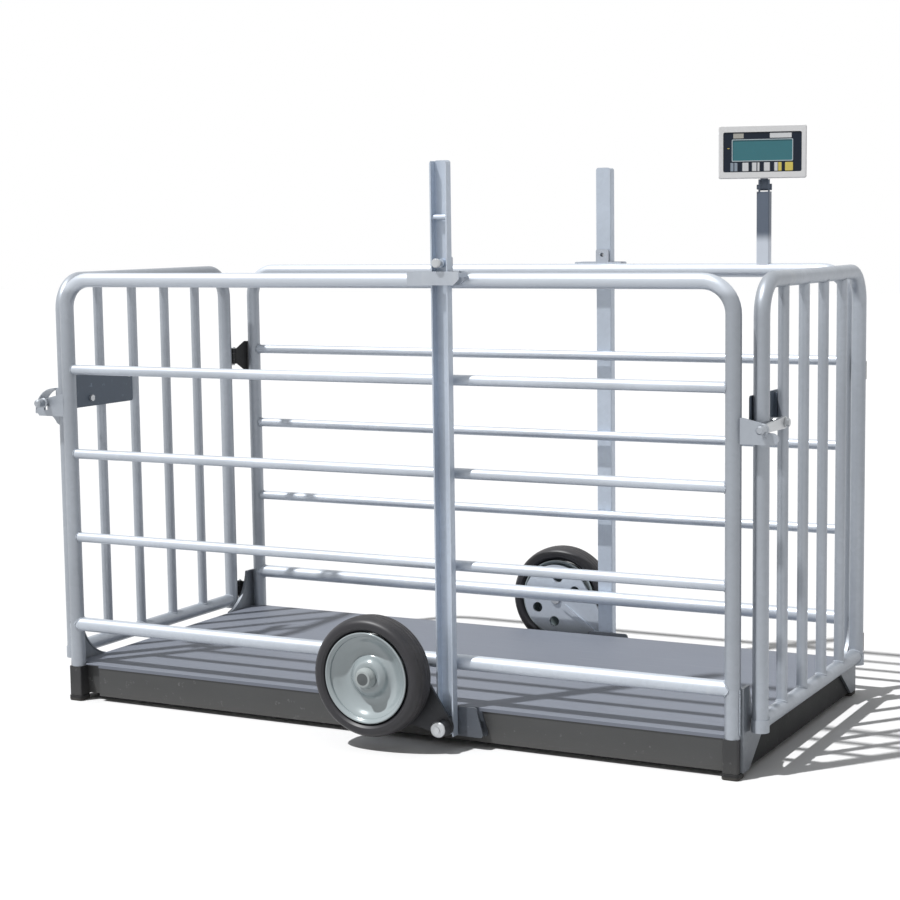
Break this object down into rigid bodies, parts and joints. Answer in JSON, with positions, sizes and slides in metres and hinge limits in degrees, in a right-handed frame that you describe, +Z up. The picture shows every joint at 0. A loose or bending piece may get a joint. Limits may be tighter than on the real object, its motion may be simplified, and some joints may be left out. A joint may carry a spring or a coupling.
{
  "type": "livestock weighing crate",
  "caption": "Tubular livestock weighing crate with hinged end doors, lift levers with wheels, and a weight indicator on a post.",
  "frame": {"origin": "on the ground under the middle of the overall length and width", "axes": "+Z up, +X along the crate towards the right-hand door, +Y towards the side that carries the weight indicator"},
  "size_m": [2.26, 1.32, 1.63],
  "materials": {
    "galvanised": "satin galvanised steel",
    "base_dark": "dull dark grey",
    "deck_grey": "smooth dull steel sheet",
    "zinc": "zinc plated",
    "dark_steel": "dark oxidised steel",
    "pad_rubber": "matt",
    "tyre_rubber": "matt",
    "rim_paint": "pale grey-green gloss",
    "cap_plastic": "dark grey",
    "grip_plastic": "black",
    "bezel_white": "white",
    "case_dark": "dark grey",
    "panel_navy": "dark blue",
    "screen": "teal display",
    "key_white": "white",
    "key_blue": "grey-blue",
    "key_yellow": "yellow"
  },
  "bodies": {
    "crate": {"side_frame_near": "galvanised", "side_frame_far": "galvanised", "side_rails_near": "galvanised", "side_rails_far": "galvanised", "foot_blocks": "dark_steel", "load_cells": "zinc", "foot_pads": "pad_rubber", "base_side_channels": "base_dark", "base_end_channels": "base_dark", "base_cross_members": "base_dark", "floor_plate": "deck_grey", "corner_gussets": "galvanised", "hinge_post_leaves": "dark_steel", "hinge_pins": "zinc", "latch_keepers": "dark_steel", "pivot_brackets": "dark_steel", "stub_shafts": "zinc", "catch_plates": "galvanised", "indicator_post": "galvanised", "indicator_bracket": "galvanised", "indicator_tilt_knob": "grip_plastic"},
    "door_left": {"door_frame_left": "galvanised", "door_bars_left": "galvanised", "hinge_door_leaves_left": "dark_steel", "latch_plate_left": "dark_steel", "latch_bolt_left": "zinc", "latch_hood_left": "galvanised"},
    "door_right": {"door_frame_right": "galvanised", "door_bars_right": "galvanised", "hinge_door_leaves_right": "dark_steel", "latch_plate_right": "dark_steel", "latch_bolt_right": "zinc"},
    "latch_left": {"latch_bar_left": "zinc", "latch_grip_left": "grip_plastic"},
    "latch_right": {"latch_bar_right": "zinc", "latch_grip_right": "grip_plastic"},
    "lever_near": {"lever_near": "galvanised", "crank_arm_near": "dark_steel", "axle_near": "zinc"},
    "lever_far": {"lever_far": "galvanised", "crank_arm_far": "dark_steel", "axle_far": "zinc"},
    "lock_pin_near": {"lock_pin_near": "zinc"},
    "lock_pin_far": {"lock_pin_far": "zinc"},
    "wheel_near": {"tyre_near": "tyre_rubber", "rim_near": "rim_paint", "hub_cap_near": "cap_plastic"},
    "wheel_far": {"tyre_far": "tyre_rubber", "rim_far": "rim_paint", "hub_cap_far": "cap_plastic"},
    "indicator_head": {"indicator_case": "case_dark", "indicator_bezel": "bezel_white", "indicator_panel": "panel_navy", "indicator_screen": "screen"},
    "key_1": {"key_1": "key_blue"},
    "key_2": {"key_2": "key_white"},
    "key_3": {"key_3": "key_white"},
    "key_4": {"key_4": "key_white"},
    "key_5": {"key_5": "key_yellow"},
    "key_6": {"key_6": "key_yellow"}
  },
  "joints": [
    {"name": "door_left_hinge", "type": "hinge", "parent": "crate", "child": "door_left", "pos_m": [-1.04, 0.44, 0.55], "axis": [0, 0, 1], "range_deg": [-110, 0]},
    {"name": "door_right_hinge", "type": "hinge", "parent": "crate", "child": "door_right", "pos_m": [1.068, 0.44, 0.55], "axis": [0, 0, 1], "range_deg": [0, 110]},
    {"name": "latch_left_pivot", "type": "hinge", "parent": "door_left", "child": "latch_left", "pos_m": [-1.068, -0.348, 0.87], "axis": [1, 0, 0], "range_deg": [-10, 4.5]},
    {"name": "latch_right_pivot", "type": "hinge", "parent": "door_right", "child": "latch_right", "pos_m": [1.096, -0.348, 0.87], "axis": [1, 0, 0], "range_deg": [-10, 4.5]},
    {"name": "lever_near_pivot", "type": "hinge", "parent": "crate", "child": "lever_near", "pos_m": [0.252, -0.546, 0.066], "axis": [0, 1, 0], "range_deg": [-40, 0]},
    {"name": "lever_far_pivot", "type": "hinge", "parent": "crate", "child": "lever_far", "pos_m": [0.252, 0.546, 0.066], "axis": [0, 1, 0], "range_deg": [-40, 0]},
    {"name": "lock_pin_near_slide", "type": "slide", "parent": "lever_near", "child": "lock_pin_near", "axis": [0, 1, 0], "range_m": [0, 0.0075]},
    {"name": "lock_pin_far_slide", "type": "slide", "parent": "lever_far", "child": "lock_pin_far", "axis": [0, -1, 0], "range_m": [0, 0.0075]},
    {"name": "wheel_near_spin", "type": "hinge", "parent": "lever_near", "child": "wheel_near", "pos_m": [0.069, -0.605, 0.195], "axis": [0, 1, 0], "continuous": true},
    {"name": "wheel_far_spin", "type": "hinge", "parent": "lever_far", "child": "wheel_far", "pos_m": [0.069, 0.605, 0.195], "axis": [0, 1, 0], "continuous": true},
    {"name": "indicator_tilt", "type": "hinge", "parent": "crate", "child": "indicator_head", "pos_m": [0.762, 0.484, 1.456], "axis": [0.9613, 0.2756, 0], "range_deg": [-20, 20]},
    {"name": "key_1_press", "type": "slide", "parent": "indicator_head", "child": "key_1", "axis": [-0.2756, 0.9613, 0], "range_m": [0, 0.0012], "stiffness_N_per_m": 400},
    {"name": "key_2_press", "type": "slide", "parent": "indicator_head", "child": "key_2", "axis": [-0.2756, 0.9613, 0], "range_m": [0, 0.0012], "stiffness_N_per_m": 400},
    {"name": "key_3_press", "type": "slide", "parent": "indicator_head", "child": "key_3", "axis": [-0.2756, 0.9613, 0], "range_m": [0, 0.0012], "stiffness_N_per_m": 400},
    {"name": "key_4_press", "type": "slide", "parent": "indicator_head", "child": "key_4", "axis": [-0.2756, 0.9613, 0], "range_m": [0, 0.0012], "stiffness_N_per_m": 400},
    {"name": "key_5_press", "type": "slide", "parent": "indicator_head", "child": "key_5", "axis": [-0.2756, 0.9613, 0], "range_m": [0, 0.0012], "stiffness_N_per_m": 400},
    {"name": "key_6_press", "type": "slide", "parent": "indicator_head", "child": "key_6", "axis": [-0.2756, 0.9613, 0], "range_m": [0, 0.0012], "stiffness_N_per_m": 400}
  ]
}
